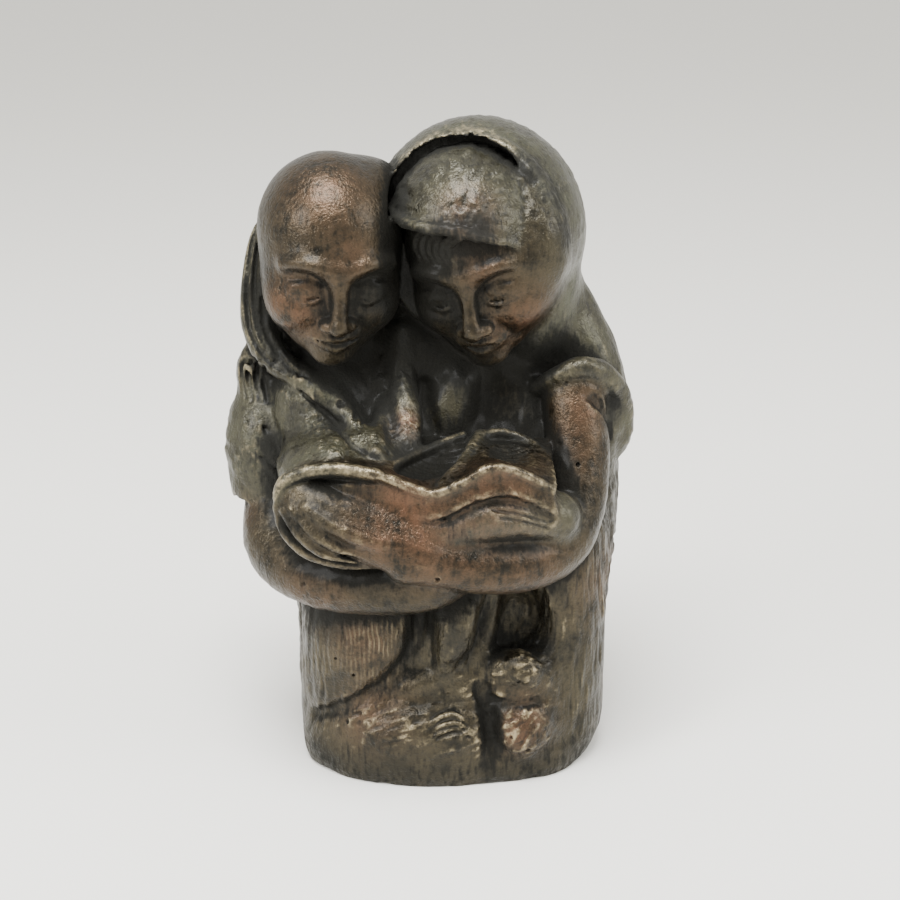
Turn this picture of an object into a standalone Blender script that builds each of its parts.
"""A small bronze group: two seated children, heads together, reading one open book.

The group is one casting. Its free form is modelled in shares of its own height, one share being a
two-hundredth of it, with X to the viewer's right, Y to the back and Z up. Rounded forms are laid on
each other and carved away as a modeller does with clay, each with its own soft join, and the surface
where the resulting field is zero becomes the mesh.
"""
import math

import bpy
import numpy as np

HEIGHT = 0.200          # crown of the hood above the table, metres
SHARES = 200.0          # shares in that height
GRID = 1.9              # spacing of the points that the form is read on, in shares
FACES = 9200            # triangles kept in the cast surface
SPARE = 3.0             # clay left below the table plane, cut off flat, in shares

BRONZE_COLOUR = (0.075, 0.052, 0.036, 1.0)
BRONZE_ROUGHNESS = 0.42

HEAD_RADII = (21.5, 24.0, 22.5)       # skull, half width, half depth, half height
HOOD_RADII = (32.8, 31.0, 34.4)       # outside of the hood
HOOD_WRAP = 0.45                      # how fast its open edge comes forward to the right
BRIM_RADII = (24.6, 27.0, 27.5)       # cap worn under the hood
BRIM_LEVEL = 11.0                     # its rim above the middle of the cap
BRIM_DROP = 8.0                       # how far the rim sinks to the temple
SLOT_DEPTH = 3.0                      # groove between cap and hood
BOOK_THICKNESS = 10.4
BOOK_HALF_WIDTH = 37.0
ARM_RADIUS = 9.6
FINGER_RADIUS = 1.9
RIM_RADIUS = 1.4                      # raised edge of the open pages
SEAT_POWER = 2.8                      # squareness of the block in plan

# Levels of the block that both figures sit in, and where its four sides stand at each.
LEVELS = np.array([-3, 3, 9, 18, 32, 50, 60, 68, 84, 92, 105, 120, 134, 148], float)
LEFT_SIDE = -np.array([44.5, 47, 48.6, 49.4, 49.8, 50.2, 50.2, 50.5, 52, 52, 53, 49, 38, 22], float)
RIGHT_SIDE = np.array([45, 48, 49.8, 50.2, 49.7, 51.2, 52.4, 53.8, 52.8, 50, 45, 35, 22, 6], float)
FRONT_SIDE = -np.array([39, 41, 41, 34, 28, 27, 27, 27, 24, 21, 16, 12, 8, 0], float)
BACK_SIDE = np.array([39, 42, 43.5, 43.5, 42, 41, 41, 41, 40, 39, 38, 35, 30, 20], float)
BLOCK_TOP = 146.0


def smooth_path(points, steps):
    """Points on the Catmull-Rom curve through the given ones, so many to each span."""
    p = np.array(points, float)
    ends = np.vstack([2 * p[0] - p[1], p, 2 * p[-1] - p[-2]])
    t = np.linspace(0, 1, steps, endpoint=False)[:, None]
    spans = []
    for a, b, c, d in zip(ends, ends[1:], ends[2:], ends[3:]):
        cubic = (3 * b - a - 3 * c + d) * t ** 3 + (2 * a - 5 * b + 4 * c - d) * t ** 2
        spans.append(0.5 * (2 * b + (c - a) * t + cubic))
    return np.vstack([*spans, p[-1:]])


def turn(nod=0.0, yaw=0.0, lean=0.0):
    """Matrix of a head that nods forward, turns to the viewer's right and leans to the left, in degrees."""
    n, y, k = np.radians([nod, yaw, lean])
    about_x = np.array([[1, 0, 0], [0, np.cos(n), -np.sin(n)], [0, np.sin(n), np.cos(n)]])
    about_z = np.array([[np.cos(y), -np.sin(y), 0], [np.sin(y), np.cos(y), 0], [0, 0, 1]])
    about_y = np.array([[np.cos(k), 0, -np.sin(k)], [0, 1, 0], [np.sin(k), 0, np.cos(k)]])
    return about_y @ about_z @ about_x


class Pose:
    """Where a head or hat stands: its middle, its turn and its size beside the standard one."""

    def __init__(self, middle, matrix, size=1.0):
        self.middle = np.array(middle, float)
        self.matrix = matrix
        self.size = size

    def place(self, *points):
        return (np.array(points, float) * self.size) @ self.matrix.T + self.middle

    def local(self, points):
        return (points - self.middle) @ self.matrix / self.size


def egg(middle, radii, matrix=np.eye(3)):
    """Ellipsoid: the scaled radius, brought back to a length by its own slope."""
    c = np.array(middle, float)
    r = np.array(radii, float)
    half = np.sqrt(((matrix * r) ** 2).sum(1))

    def distance(p):
        q = (p - c) @ matrix
        scaled = np.sqrt(((q / r) ** 2).sum(1))
        slope = np.sqrt(((q / (r * r)) ** 2).sum(1))
        return np.where(slope > 1e-9, scaled * (scaled - 1) / np.maximum(slope, 1e-9), -r.min())
    return c - half, c + half, distance


def limb(path, radii, steps=4):
    """Round bar along a smooth path: distance to the nearest span less the radius there."""
    radii = np.array(radii, float)
    line = smooth_path(path, steps) if len(path) > 2 else np.array(path, float)
    r = smooth_path(radii[:, None], steps)[:, 0] if len(path) > 2 else radii

    def distance(p):
        best = np.full(len(p), 1e9)
        for a, b, ra, rb in zip(line, line[1:], r, r[1:]):
            span = b - a
            off = p - a
            t = np.clip(off @ span / max(span @ span, 1e-12), 0, 1)
            off = off - t[:, None] * span
            best = np.minimum(best, np.sqrt((off ** 2).sum(1)) - (ra + (rb - ra) * t))
        return best
    return line.min(0) - r.max(), line.max(0) + r.max(), distance


def cut(form, keep):
    """A form with all that lies beyond a plane, or other limit, taken off."""
    low, high, distance = form
    return low, high, lambda p: np.maximum(distance(p), keep(p))


class Clay:
    """A pile of forms laid on or carved off, each with the width of its soft join."""

    def __init__(self):
        self.steps = []

    def lay(self, form, blend=1.0):
        self.steps.append((form, blend, False))

    def carve(self, form, blend=1.0):
        self.steps.append((form, blend, True))

    def distance(self, p, reach=5.0):
        """Signed distance of points to the clay: soft minimum of what is laid, soft maximum of cuts."""
        d = np.full(len(p), 60.0)
        for (low, high, form), blend, carved in self.steps:
            margin = blend + reach
            near = np.flatnonzero(((p > low - margin) & (p < high + margin)).all(1))
            if not len(near):
                continue
            g = form(p[near])
            a = d[near]
            if carved:
                h = np.clip(0.5 + 0.5 * (g + a) / blend, 0, 1)
                d[near] = -g + (a + g) * h + blend * h * (1 - h)
            else:
                h = np.clip(0.5 + 0.5 * (a - g) / blend, 0, 1)
                d[near] = a + (g - a) * h - blend * h * (1 - h)
        return d

    def front(self, points, depth=0.0):
        """Points (x, z) carried back to the foremost surface, or the nearest clay, and so far into it."""
        xz = np.array(points, float)
        ys = np.arange(-64.0, 30.0, 0.5)
        rays = np.stack([np.repeat(xz[:, :1], len(ys), 1), np.tile(ys, (len(xz), 1)),
                         np.repeat(xz[:, 1:], len(ys), 1)], -1)
        d = self.distance(rays.reshape(-1, 3)).reshape(len(xz), -1)
        hit = np.where((d < 0).any(1), np.argmax(d < 0, axis=1), np.argmin(d, axis=1))
        return [(x, ys[i] + depth, z) for (x, z), i in zip(xz, hit)]


def block(p):
    """Superellipse in plan whose four sides follow the levels."""
    z = p[:, 2]
    left, right = np.interp(z, LEVELS, LEFT_SIDE), np.interp(z, LEVELS, RIGHT_SIDE)
    front, back = np.interp(z, LEVELS, FRONT_SIDE), np.interp(z, LEVELS, BACK_SIDE)
    wide, deep = (right - left) / 2, (back - front) / 2
    x = np.abs((p[:, 0] - (left + right) / 2) / wide)
    y = np.abs((p[:, 1] - (front + back) / 2) / deep)
    r = (x ** SEAT_POWER + y ** SEAT_POWER) ** (1 / SEAT_POWER)
    return np.maximum((r - 1) * np.minimum(wide, deep), np.maximum(z - BLOCK_TOP, -z - SPARE))


def seat_and_backs(clay):
    """The block of lap and seat, two rounded backs, and the hollow under the chins."""
    clay.lay((np.array([-60, -50, -4.0]), np.array([60, 55, 150.0]), block), 1)
    clay.lay(egg((-34, 15, 92), (25, 27, 36)), 10)
    clay.lay(egg((25, 17, 92), (26, 27, 38)), 10)
    clay.carve(limb([(-5, 50, 132), (-5, 49, 108), (-3, 50, 80), (-1, 52, 50), (0, 52, 20)],
                    [8, 8, 7, 6, 4]), 8)
    clay.carve(egg((-2, -25, 120), (24, 13, 14)), 7)
    clay.carve(egg((16, -20, 118), (14, 12, 14)), 6)


def legs_and_feet(clay):
    """Two cloth-covered legs with a shin and a deep hollow between them, and bare feet below."""
    clay.lay(limb([(-25.5, -14, 66), (-26, -20, 46), (-27, -16, 16)], [20, 20.5, 20]), 3)
    clay.lay(limb([(3, -27, 66), (2.3, -31.5, 56), (1, -34, 47), (-1, -35, 39.5)], [9, 8, 6, 2.6]), 1.5)
    clay.lay(limb([(32, -12, 72), (31, -14, 46), (30, -15, 16)], [17, 18, 19]), 3)
    clay.carve(egg((21, -40, 51), (11.5, 21, 16)), 2.5)
    clay.lay(limb([(12.2, -23, 66), (11.6, -27, 50), (7, -32, 40), (-3.5, -35.5, 33)],
                  [2.8, 3.2, 3.2, 2.8]), 3)
    clay.lay(limb([(-32, -26, 12), (-16, -32, 16), (0, -34, 15.5)], [10, 12.5, 11.5]), 4)
    clay.lay(limb([(-33.5, -22, 6), (-20, -29.5, 5), (2, -30.5, 5), (25, -24, 5)],
                  [12.4, 12.5, 12.5, 12.4]), 5)
    clay.lay(limb([(13, -31, 35), (20, -34, 36.5), (27, -31, 33)], [5.5, 6.3, 6]), 2.5)
    clay.lay(limb([(29, -20, 15), (22, -32, 17)], [13, 11.5]), 3)
    hem = clay.front([(-8, 60), (-7.5, 50), (-10, 42), (-17, 34), (-26, 28.5), (-35, 23), (-43, 18)], -0.5)
    clay.carve(limb(hem, [2.6, 3, 2.8, 2.4, 2.2, 1.8, 0.6]), 2)
    clay.carve(limb(clay.front([(5, 31), (8, 22), (9.5, 13), (10, 5)], 0.5), [2.2, 2.6, 2.6, 1.2]), 2)
    clay.carve(limb(clay.front([(13, 27), (20, 26), (29, 27)]), [0.8, 1.1, 0.6]), 2)


def chests(clay):
    """Shirt fronts between the arms: a slope of cloth on to the book, a collar, a stem, boss and leaf."""
    clay.lay(egg((-38, -5, 112), (18, 16, 18)), 6)
    clay.lay(egg((-31, -25, 100), (21, 21, 12.5)), 7)
    neckline = clay.front([(-46, 126), (-41, 122.5), (-34, 118), (-26, 112), (-18, 104)])
    clay.lay(limb(neckline, [2.4, 2.8, 2.4, 1.8, 1.2]), 3)
    clay.lay(limb([(-14.5, -6, 136), (-14.8, -10, 126), (-14, -15, 117)], [3.4, 3.4, 3.6]), 4)
    clay.lay(limb([(-14, -14, 119), (-13.6, -19, 113), (-13.2, -24.5, 106.5)], [3.4, 5.2, 5]), 4)
    clay.lay(egg((-0.8, -11.6, 113.5), (5.6, 3.8, 10.5), turn(lean=-22)), 5)
    clay.carve(limb(clay.front([(-7.5, 121), (-6.8, 114), (-4.5, 108)]), [0.8, 1.4, 0.8]), 2.5)


def left_arm(clay):
    """Shoulder, short sleeve with a stepped hem, bent arm and the forearm that crosses below."""
    sleeve = limb([(-40, 10, 120), (-51, 4, 112), (-57, -1, 103), (-56.5, -5, 90), (-56, -6, 80)],
                  [12, 13, 13.2, 12.6, 12])
    clay.lay(cut(sleeve, lambda p: 86 - p[:, 2] + 0.12 * (p[:, 1] + 6)), 2)
    r = ARM_RADIUS
    clay.lay(limb([(-54.5, 0, 98), (-54.4, -8, 84), (-52.4, -20, 71.3), (-37, -35, 68), (-10, -43, 70),
                   (4, -42, 74)], [r, r + 0.2, r + 0.9, r + 0.4, r - 0.2, r - 2.4], steps=5), 1.2)


def right_arm(clay):
    """Arm out of a wide cap sleeve, bent at the elbow, with its forearm along the book."""
    clay.lay(limb([(22, 10, 160), (27.5, 10, 148), (36, 8, 134), (42.5, 5, 120), (44, 1, 106), (41, 2, 96)],
                  [14, 12.6, 12.2, 12.1, 12, 10]), 5)
    r = ARM_RADIUS
    clay.lay(limb([(38, -9.5, 116), (39, -16, 100), (36.5, -25, 83), (29, -34, 76), (12, -44, 76),
                   (-12, -49, 80.5)], [r, r + 0.2, r + 0.2, r, r - 0.6, r - 1.6], steps=5), 1.2)
    clay.lay(limb([(27, -9, 120), (33, -13, 125), (41, -13, 127.5), (48, -9.5, 123), (53.5, -4, 113),
                   (53.4, -1, 101), (48.5, 2, 92)], [2.4, 3, 3.2, 3.4, 3.5, 3.1, 2]), 2.5)
    clay.carve(limb([(30, -17.5, 117.5), (36, -20, 121), (42, -18.5, 120.5), (47.5, -14.5, 114),
                     (49.5, -10, 103)], [1.4, 1.9, 2.2, 2.2, 1.2]), 1)


def book(clay):
    """Thick open book: a slab that waves along its front edge, with two dished pages and raised rims."""
    places = [-48, -40, -31.4, -20, -5.8, 3, 11.4, 20, 30]
    heights = [103, 107, 108.6, 107, 101.6, 104.5, 109.2, 107, 100.3]
    wave = smooth_path(np.column_stack([places, heights]), 6)
    back_edge, back_height, half = -17.0, 106.0, BOOK_THICKNESS / 2

    def slab(p):
        x, y, z = p.T
        edge = np.interp(x, [-48, -30, -5, 12, 30], [-44, -49, -51, -50, -44])
        share = np.clip((y - edge) / (back_edge - edge), 0, 1)
        top = np.interp(x, wave[:, 0], wave[:, 1]) * (1 - share) + back_height * share
        q = np.stack([np.abs(x + 7) - BOOK_HALF_WIDTH, np.abs(y - (edge + back_edge) / 2)
                      - (back_edge - edge) / 2, np.abs(z - top + half) - half + 0.6], 1)
        return np.sqrt((np.maximum(q, 0) ** 2).sum(1)) + np.minimum(q.max(1), 0) - 0.6
    clay.lay((np.array([-46, -54, 85.0]), np.array([32, -14, 112.0]), slab), 1.0)
    clay.lay(limb([(31, -36, 88), (15, -42.3, 92), (-4, -44.5, 88)], [8, 8.5, 8.5]), 2.5)
    clay.carve(egg((-4, -35, 106.5), (15, 7.5, 6.2), turn(yaw=38)), 1.0)
    clay.carve(egg((19, -33, 109), (8.5, 10, 5.2)), 1.2)
    r = RIM_RADIUS
    clay.lay(limb([(-49.5, -47, 94), (-50, -47.5, 98.5), (-47.5, -48, 103.5), (-41, -48.5, 107),
                   (-31.5, -49.3, 108.3), (-20, -50, 106.4), (-6, -50.5, 101.2), (3, -50.2, 104),
                   (11.4, -49.5, 108.6), (20, -47.2, 106.4), (29.5, -43.2, 99.8)],
                  [r + 0.3] * 4 + [r] * 4 + [r - 0.2] * 3), 0.8)
    clay.lay(limb([(-20, -45, 105), (-9, -29, 106), (4, -19, 107.5)], [r - 0.2, r - 0.2, r]), 1.0)
    clay.lay(limb([(-2, -47, 102.5), (4, -34, 104.5), (9, -20, 107.5)], [r, r + 0.3, r + 0.4]), 1.4)
    clay.lay(limb([(9, -20, 107.5), (16, -18, 108), (25, -21, 105.5), (29, -31, 102), (30, -41, 100)],
                  [r + 0.2, r, r, r - 0.2, r - 0.3]), 0.8)


def hand(clay):
    """Hand that holds the book from below: palm and wrist, three fingers and a thumb."""
    clay.lay(limb([(-8, -48.5, 82), (-22, -48.5, 87), (-34, -47.5, 93), (-42, -45, 97)],
                  [8, 8.6, 8.6, 7.6]), 1.5)
    clay.lay(limb([(-28, -48, 94), (-16, -48, 90.5), (-4, -47, 88)], [5.4, 5.4, 5]), 2.5)
    r = FINGER_RADIUS
    clay.lay(limb([(-49.5, -47, 95), (-47.5, -49, 89), (-41, -51, 83), (-31, -51.5, 78.5), (-17, -50.5, 76)],
                  [r - 0.2, r + 0.2, r + 0.4, r + 0.6, r]), 1.0)
    clay.lay(limb([(-47.5, -50, 95.5), (-43, -53, 89.5), (-36, -55, 84.5), (-26, -54.5, 80)],
                  [r - 0.4, r, r + 0.2, r - 0.2]), 0.8)
    clay.lay(limb([(-45, -51.5, 96.5), (-39.5, -54.5, 91.5), (-33, -56, 87), (-24, -55.5, 83)],
                  [r - 0.4, r, r + 0.2, r - 0.2]), 0.8)
    clay.lay(limb([(-41, -53, 97.5), (-35, -55.5, 94), (-27, -56.5, 90.5), (-19, -55.5, 87.5)],
                  [r - 0.2, r + 0.3, r + 0.6, r + 0.6]), 0.8)


def left_hair(clay):
    """Smooth hair behind, a band that frames the face and sweeps under the chin, and a shoulder lock."""
    clay.lay(limb([(-34, 8, 122), (-37, 0, 146)], [13, 13]), 5)
    clay.lay(limb([(-37, 9, 168), (-40, 17, 150), (-41, 20, 132), (-41, 23, 114)], [19.5, 18, 15, 9]), 5)
    clay.lay(limb([(-53.8, -1, 174), (-57.4, -2, 164), (-58.6, -3, 152), (-58.8, -5, 141), (-54.5, -10, 131),
                   (-45, -15, 124.5)], [1.6, 3, 4.4, 5, 4.8, 3.6]), 2)
    clay.lay(limb([(-56, 2, 133), (-59.6, 1, 123), (-58.6, 0, 114)], [4.5, 7.0, 6.5]), 3)
    clay.lay(egg((-48, 1, 147), (10.5, 9, 17)), 4)


def head(clay, pose):
    """Skull and rounder lower face, with the features laid on."""
    s = pose.size
    clay.lay(egg(pose.place((0, 3, 5))[0], np.array(HEAD_RADII) * s, pose.matrix), 1.5)
    clay.lay(egg(pose.place((0, -3, -7.5))[0], np.array((20.5, 19, 21)) * s, pose.matrix), 4)
    features(clay, pose)


def features(clay, pose):
    """A calm child's face: eyes closed at half height, nose and mouth at the usual thirds below."""
    s = pose.size

    def lump(middle, radii, blend, carved=False):
        form = egg(pose.place(middle)[0], np.array(radii) * s, pose.matrix)
        (clay.carve if carved else clay.lay)(form, blend)

    def line(points, radii, blend, carved=False):
        form = limb(list(pose.place(*points)), np.array(radii) * s)
        (clay.carve if carved else clay.lay)(form, blend)

    for m in (-1, 1):
        lump((m * 9.5, -12.0, -11), (9.8, 9.2, 9), 5)
    lump((0, -12.4, -21), (11, 9.2, 7.2), 5)
    for m in (-1, 1):
        lump((m * 8.8, -24.2, -2.8), (6.8, 4.2, 4.6), 3.5, True)
        line([(m * 3.2, -21.8, 3.0), (m * 7, -22.3, 5.4), (m * 11.5, -20.3, 5.6), (m * 16, -15.8, 3.0)],
             [1.0, 1.3, 1.2, 0.8], 3)
        lump((m * 8.8, -17.6, -3.6), (5.7, 4.3, 4.5), 0.8)
    line([(0, -20.8, 2.5), (0, -22.8, -3.5), (0, -25.6, -9.5), (0, -26.8, -12.2)], [2.2, 2.1, 2.4, 2.9], 2.2)
    for m in (-1, 1):
        lump((m * 3.3, -24.0, -12.8), (2.3, 2.6, 2.0), 1)
    lump((0, -20.6, -18), (7, 3.4, 4.6), 2.5)
    line([(-6.2, -21.0, -18.2), (-2.4, -23.8, -17.0), (0, -23.8, -17.6), (2.4, -23.8, -17.0),
          (6.2, -21.0, -18.2)], [0.6, 1.3, 1.2, 1.3, 0.6], 0.8)
    line([(-5, -21.1, -19.6), (0, -23.4, -20.6), (5, -21.1, -19.6)], [0.7, 1.8, 0.7], 0.8)
    line([(-6.6, -21.0, -18.4), (0, -25.2, -19.0), (6.6, -21.0, -18.4)], [0.4, 0.5, 0.4], 0.5, True)
    lump((0, -19.0, -25), (6, 4, 3.8), 3)


def hood(clay):
    """Domed hood with a ridged open edge, the cloth down the back, and a cap inside it."""
    clay.lay(limb([(16, 8, 124), (12, 2, 150)], [14, 14]), 5)
    clay.lay(limb([(13, 13, 166), (19, 20, 144), (24, 22, 124), (25, 25, 106)], [26, 20.5, 17, 8]), 5)
    clay.lay(egg((25, 3, 150), (15, 15, 28)), 3)
    clay.lay(egg((-24.5, -1, 177.8), (11, 13, 11)), 4)
    clay.lay(egg((20.5, -7, 162), (13.8, 18, 22)), 4)
    shell = egg((8.6, 6, 165.6), HOOD_RADII, turn(lean=8))

    def open_side(p):
        wrap = HOOD_WRAP * np.maximum(p[:, 0] - 9, 0) + 0.10 * np.maximum(9 - p[:, 0], 0)
        return -(p[:, 1] + 6 + 0.06 * (p[:, 2] - 165) + wrap)
    clay.lay(cut(shell, open_side), 1.0)
    clay.lay(limb([(-21.5, -3, 172), (-16, -6, 183), (-6, -8, 191), (7, -8, 194.3), (18, -10, 191.6),
                   (27, -13.5, 182.6), (31.5, -15.5, 171), (33.2, -13, 158)],
                  [1.2, 1.8, 2.2, 2.2, 2.2, 2.2, 2, 1.4]), 1.5)
    pose = Pose((5.2, -5, 166), turn(nod=8, yaw=-10, lean=1))
    radii = np.array(BRIM_RADII)

    def dome(p, grow=0.0):
        return (np.sqrt(((pose.local(p) / radii) ** 2).sum(1)) - 1) * radii[1] - grow

    def rim_level(x):
        drop = np.clip((x + 1) / 25, 0, 1)
        return BRIM_LEVEL - BRIM_DROP * drop * drop * (3 - 2 * drop)

    def slot(p):
        q = pose.local(p)
        depth = SLOT_DEPTH * np.clip((p[:, 2] - 158) / 16, 0, 1)
        floor = rim_level(q[:, 0]) - 1.4 * np.maximum(q[:, 1] + 14, 0) - q[:, 2]
        return np.maximum(np.maximum(dome(p, depth), p[:, 1] + 1), floor)

    def peak(p):
        q = pose.local(p)
        return np.maximum(dome(p), (rim_level(q[:, 0]) - q[:, 2]) * 0.8)
    reach = radii.max() + 4
    clay.carve((pose.middle - reach, pose.middle + reach, slot), 1.0)
    clay.lay((pose.middle - reach, pose.middle + reach, peak), 0.8)
    clay.lay(egg((23, -9.5, 163), (11.5, 15.5, 16)), 3.5)
    around = np.radians([-76, -54, -32, -12, 6, 22, 36])
    level = rim_level(0.92 * radii[0] * np.sin(around))
    ring = np.sqrt(1 - (level / radii[2]) ** 2)
    edge = np.stack([radii[0] * ring * np.sin(around), -radii[1] * ring * np.cos(around), level], 1)
    clay.lay(limb(list(pose.place(*edge)), [1, 1.4, 1.7, 1.8, 1.7, 1.3, 0.4]), 1.0)


LEFT_HEAD = Pose((-35.7, -9, 163.3), turn(nod=14, yaw=12, lean=-3), 1.0)
RIGHT_HEAD = Pose((9, -6, 163), turn(nod=18, yaw=-16, lean=10), 1.02)


def sculpt():
    """The whole group, built up from the seat to the hood."""
    clay = Clay()
    seat_and_backs(clay)
    legs_and_feet(clay)
    chests(clay)
    left_arm(clay)
    right_arm(clay)
    book(clay)
    hand(clay)
    left_hair(clay)
    head(clay, LEFT_HEAD)
    head(clay, RIGHT_HEAD)
    hood(clay)
    wide = np.array([SHARES, SHARES, 0.0])
    clay.carve((-wide - SHARES * np.array([0, 0, 1.0]), wide, lambda p: p[:, 2] + SPARE), 1.0)
    return clay


def settle(volume, step):
    """Fill the few points where the sampled clay would touch itself only along an edge or at a corner."""
    filled = -0.05 * step
    pairs = [(0, 1), (0, 2), (1, 2)]
    while True:
        inside = volume < 0
        weak = np.zeros(volume.shape, bool)
        for u, v in pairs:
            places = ((0, 0), (1, 0), (0, 1), (1, 1))
            here, right, up, across = [np.roll(inside, (-i, -j), (u, v)) for i, j in places]
            weak |= ~here & ~across & right & up
            weak |= np.roll(here & across & ~right & ~up, 1, u)
        corners = [(i, j, k) for i in (0, 1) for j in (0, 1) for k in (0, 1)]
        shifted = {c: np.roll(inside, [-n for n in c], (0, 1, 2)) for c in corners}
        count = sum(s.astype(int) for s in shifted.values())
        for i, j, k in corners[:4]:
            near, far = shifted[(i, j, k)], shifted[(1 - i, 1 - j, 1 - k)]
            weak |= np.roll((count == 2) & near & far, (1 - i, j, k), (0, 1, 2))
            weak |= np.roll((count == 6) & ~near & ~far, (i, j, k), (0, 1, 2))
        weak &= ~inside
        if not weak.any():
            return volume
        volume[weak] = filled


def net(volume, low, step):
    """Surface net of a sampled field: one point in each crossed cell, one face for each crossed edge."""
    inside = volume < 0
    shape = [n - 1 for n in volume.shape]
    corners = [(i, j, k) for i in (0, 1) for j in (0, 1) for k in (0, 1)]
    count = np.zeros(shape, int)
    for i, j, k in corners:
        count += inside[i:shape[0] + i, j:shape[1] + j, k:shape[2] + k]
    cells = np.argwhere((count > 0) & (count < 8))
    index = np.full(shape, -1)
    index[tuple(cells.T)] = np.arange(len(cells))
    total, crossings = np.zeros((len(cells), 3)), np.zeros(len(cells))
    for corner in corners:
        for axis in range(3):
            if corner[axis]:
                continue
            along = np.eye(3, dtype=int)[axis]
            near = volume[tuple((cells + corner).T)]
            far = volume[tuple((cells + corner + along).T)]
            crossed = (near < 0) != (far < 0)
            share = np.where(crossed, near / np.where(crossed, near - far, 1), 0)
            point = corner + along * share[:, None]
            total[crossed] += point[crossed]
            crossings += crossed
    points = low + (cells + total / crossings[:, None]) * step
    faces = []
    for axis in range(3):
        u, v = np.eye(3, dtype=int)[(axis + 1) % 3], np.eye(3, dtype=int)[(axis + 2) % 3]
        first = [slice(None)] * 3
        second = [slice(None)] * 3
        first[axis], second[axis] = slice(0, -1), slice(1, None)
        near, far = inside[tuple(first)], inside[tuple(second)]
        edge = np.argwhere(near != far)
        turned = far[tuple(edge.T)]
        quads = np.stack([index[tuple((edge - u - v).T)], index[tuple((edge - v).T)],
                          index[tuple(edge.T)], index[tuple((edge - u).T)]], 1)
        quads[turned] = quads[turned][:, ::-1]
        faces.append(quads)
    return points, np.vstack(faces)


def one_body(points, faces):
    """The largest connected surface, without sealed pockets: labels spread along faces till they settle."""
    label = np.arange(len(points))
    while True:
        lowest = label[faces].min(1)
        spread = label.copy()
        for corner in faces.T:
            np.minimum.at(spread, corner, lowest)
        spread = spread[spread]
        if (spread == label).all():
            break
        label = spread
    main = np.bincount(label).argmax()
    kept = label == main
    order = np.cumsum(kept) - 1
    return points[kept], order[faces[kept[faces[:, 0]]]]


def read_form(clay, low, high, step, coarse=4):
    """Net of the clay, read finely only in the coarse cells that its surface may cross."""
    low = np.array(low, float)
    wide = step * coarse
    count = np.ceil((np.array(high) - low) / wide).astype(int) + 1
    axes = [low[i] + wide * (np.arange(count[i]) + 0.5) - step / 2 for i in range(3)]
    middles = np.stack(np.meshgrid(*axes, indexing="ij"), -1).reshape(-1, 3)
    rough = clay.distance(middles)
    volume = rough.reshape(count)
    live = np.argwhere(np.abs(volume) < wide * math.sqrt(3) / 2 * 1.6 + 1)
    for axis in range(3):
        volume = np.repeat(volume, coarse, axis)
    inner = np.stack(np.meshgrid(*[np.arange(coarse)] * 3, indexing="ij"), -1).reshape(-1, 3)
    for some in np.array_split(live, len(live) // 20000 + 1):
        cells = (some[:, None, :] * coarse + inner[None]).reshape(-1, 3)
        volume[tuple(cells.T)] = clay.distance(low + cells * step)
    return one_body(*net(settle(volume, step), low, step))


def bronze():
    """Dark patinated bronze, worn warm."""
    material = bpy.data.materials.new("patinated_bronze")
    material.use_nodes = True
    shader = material.node_tree.nodes["Principled BSDF"]
    shader.inputs["Base Color"].default_value = BRONZE_COLOUR
    shader.inputs["Roughness"].default_value = BRONZE_ROUGHNESS
    shader.inputs["Metallic"].default_value = 1.0
    return material


def cast(name, points, faces):
    """Mesh object of the read form, thinned to its budget of faces."""
    mesh = bpy.data.meshes.new(name)
    mesh.from_pydata(points.tolist(), [], faces.tolist())
    mesh.update()
    mesh.shade_smooth()
    obj = bpy.data.objects.new(name, mesh)
    bpy.context.scene.collection.objects.link(obj)
    obj.data.materials.append(bronze())
    thin = obj.modifiers.new("thin", "DECIMATE")
    thin.ratio = FACES / (2 * len(faces))
    thin.use_collapse_triangulate = True
    return obj


def stand_flat(obj, unit):
    """Cut the spare clay off at the table plane, so that the underside is one flat face."""
    deep = 4 * SPARE * unit
    bpy.ops.mesh.primitive_cube_add(size=1)
    table = bpy.context.object
    table.name = "table_cutter"
    table.scale = (SHARES * unit, SHARES * unit, deep)
    table.location = (0, 0, -deep / 2)
    table.hide_render = True
    table.display_type = "WIRE"
    trim = obj.modifiers.new("flat_underside", "BOOLEAN")
    trim.operation = "DIFFERENCE"
    trim.solver = "EXACT"
    trim.object = table


for old in list(bpy.data.objects):
    bpy.data.objects.remove(old)
unit = HEIGHT / SHARES
surface, quads = read_form(sculpt(), (-80, -64, -SPARE - 4), (68, 54, SHARES + 6), GRID)
boys = cast("boys_reading_sculpture", surface * unit, quads)
stand_flat(boys, unit)
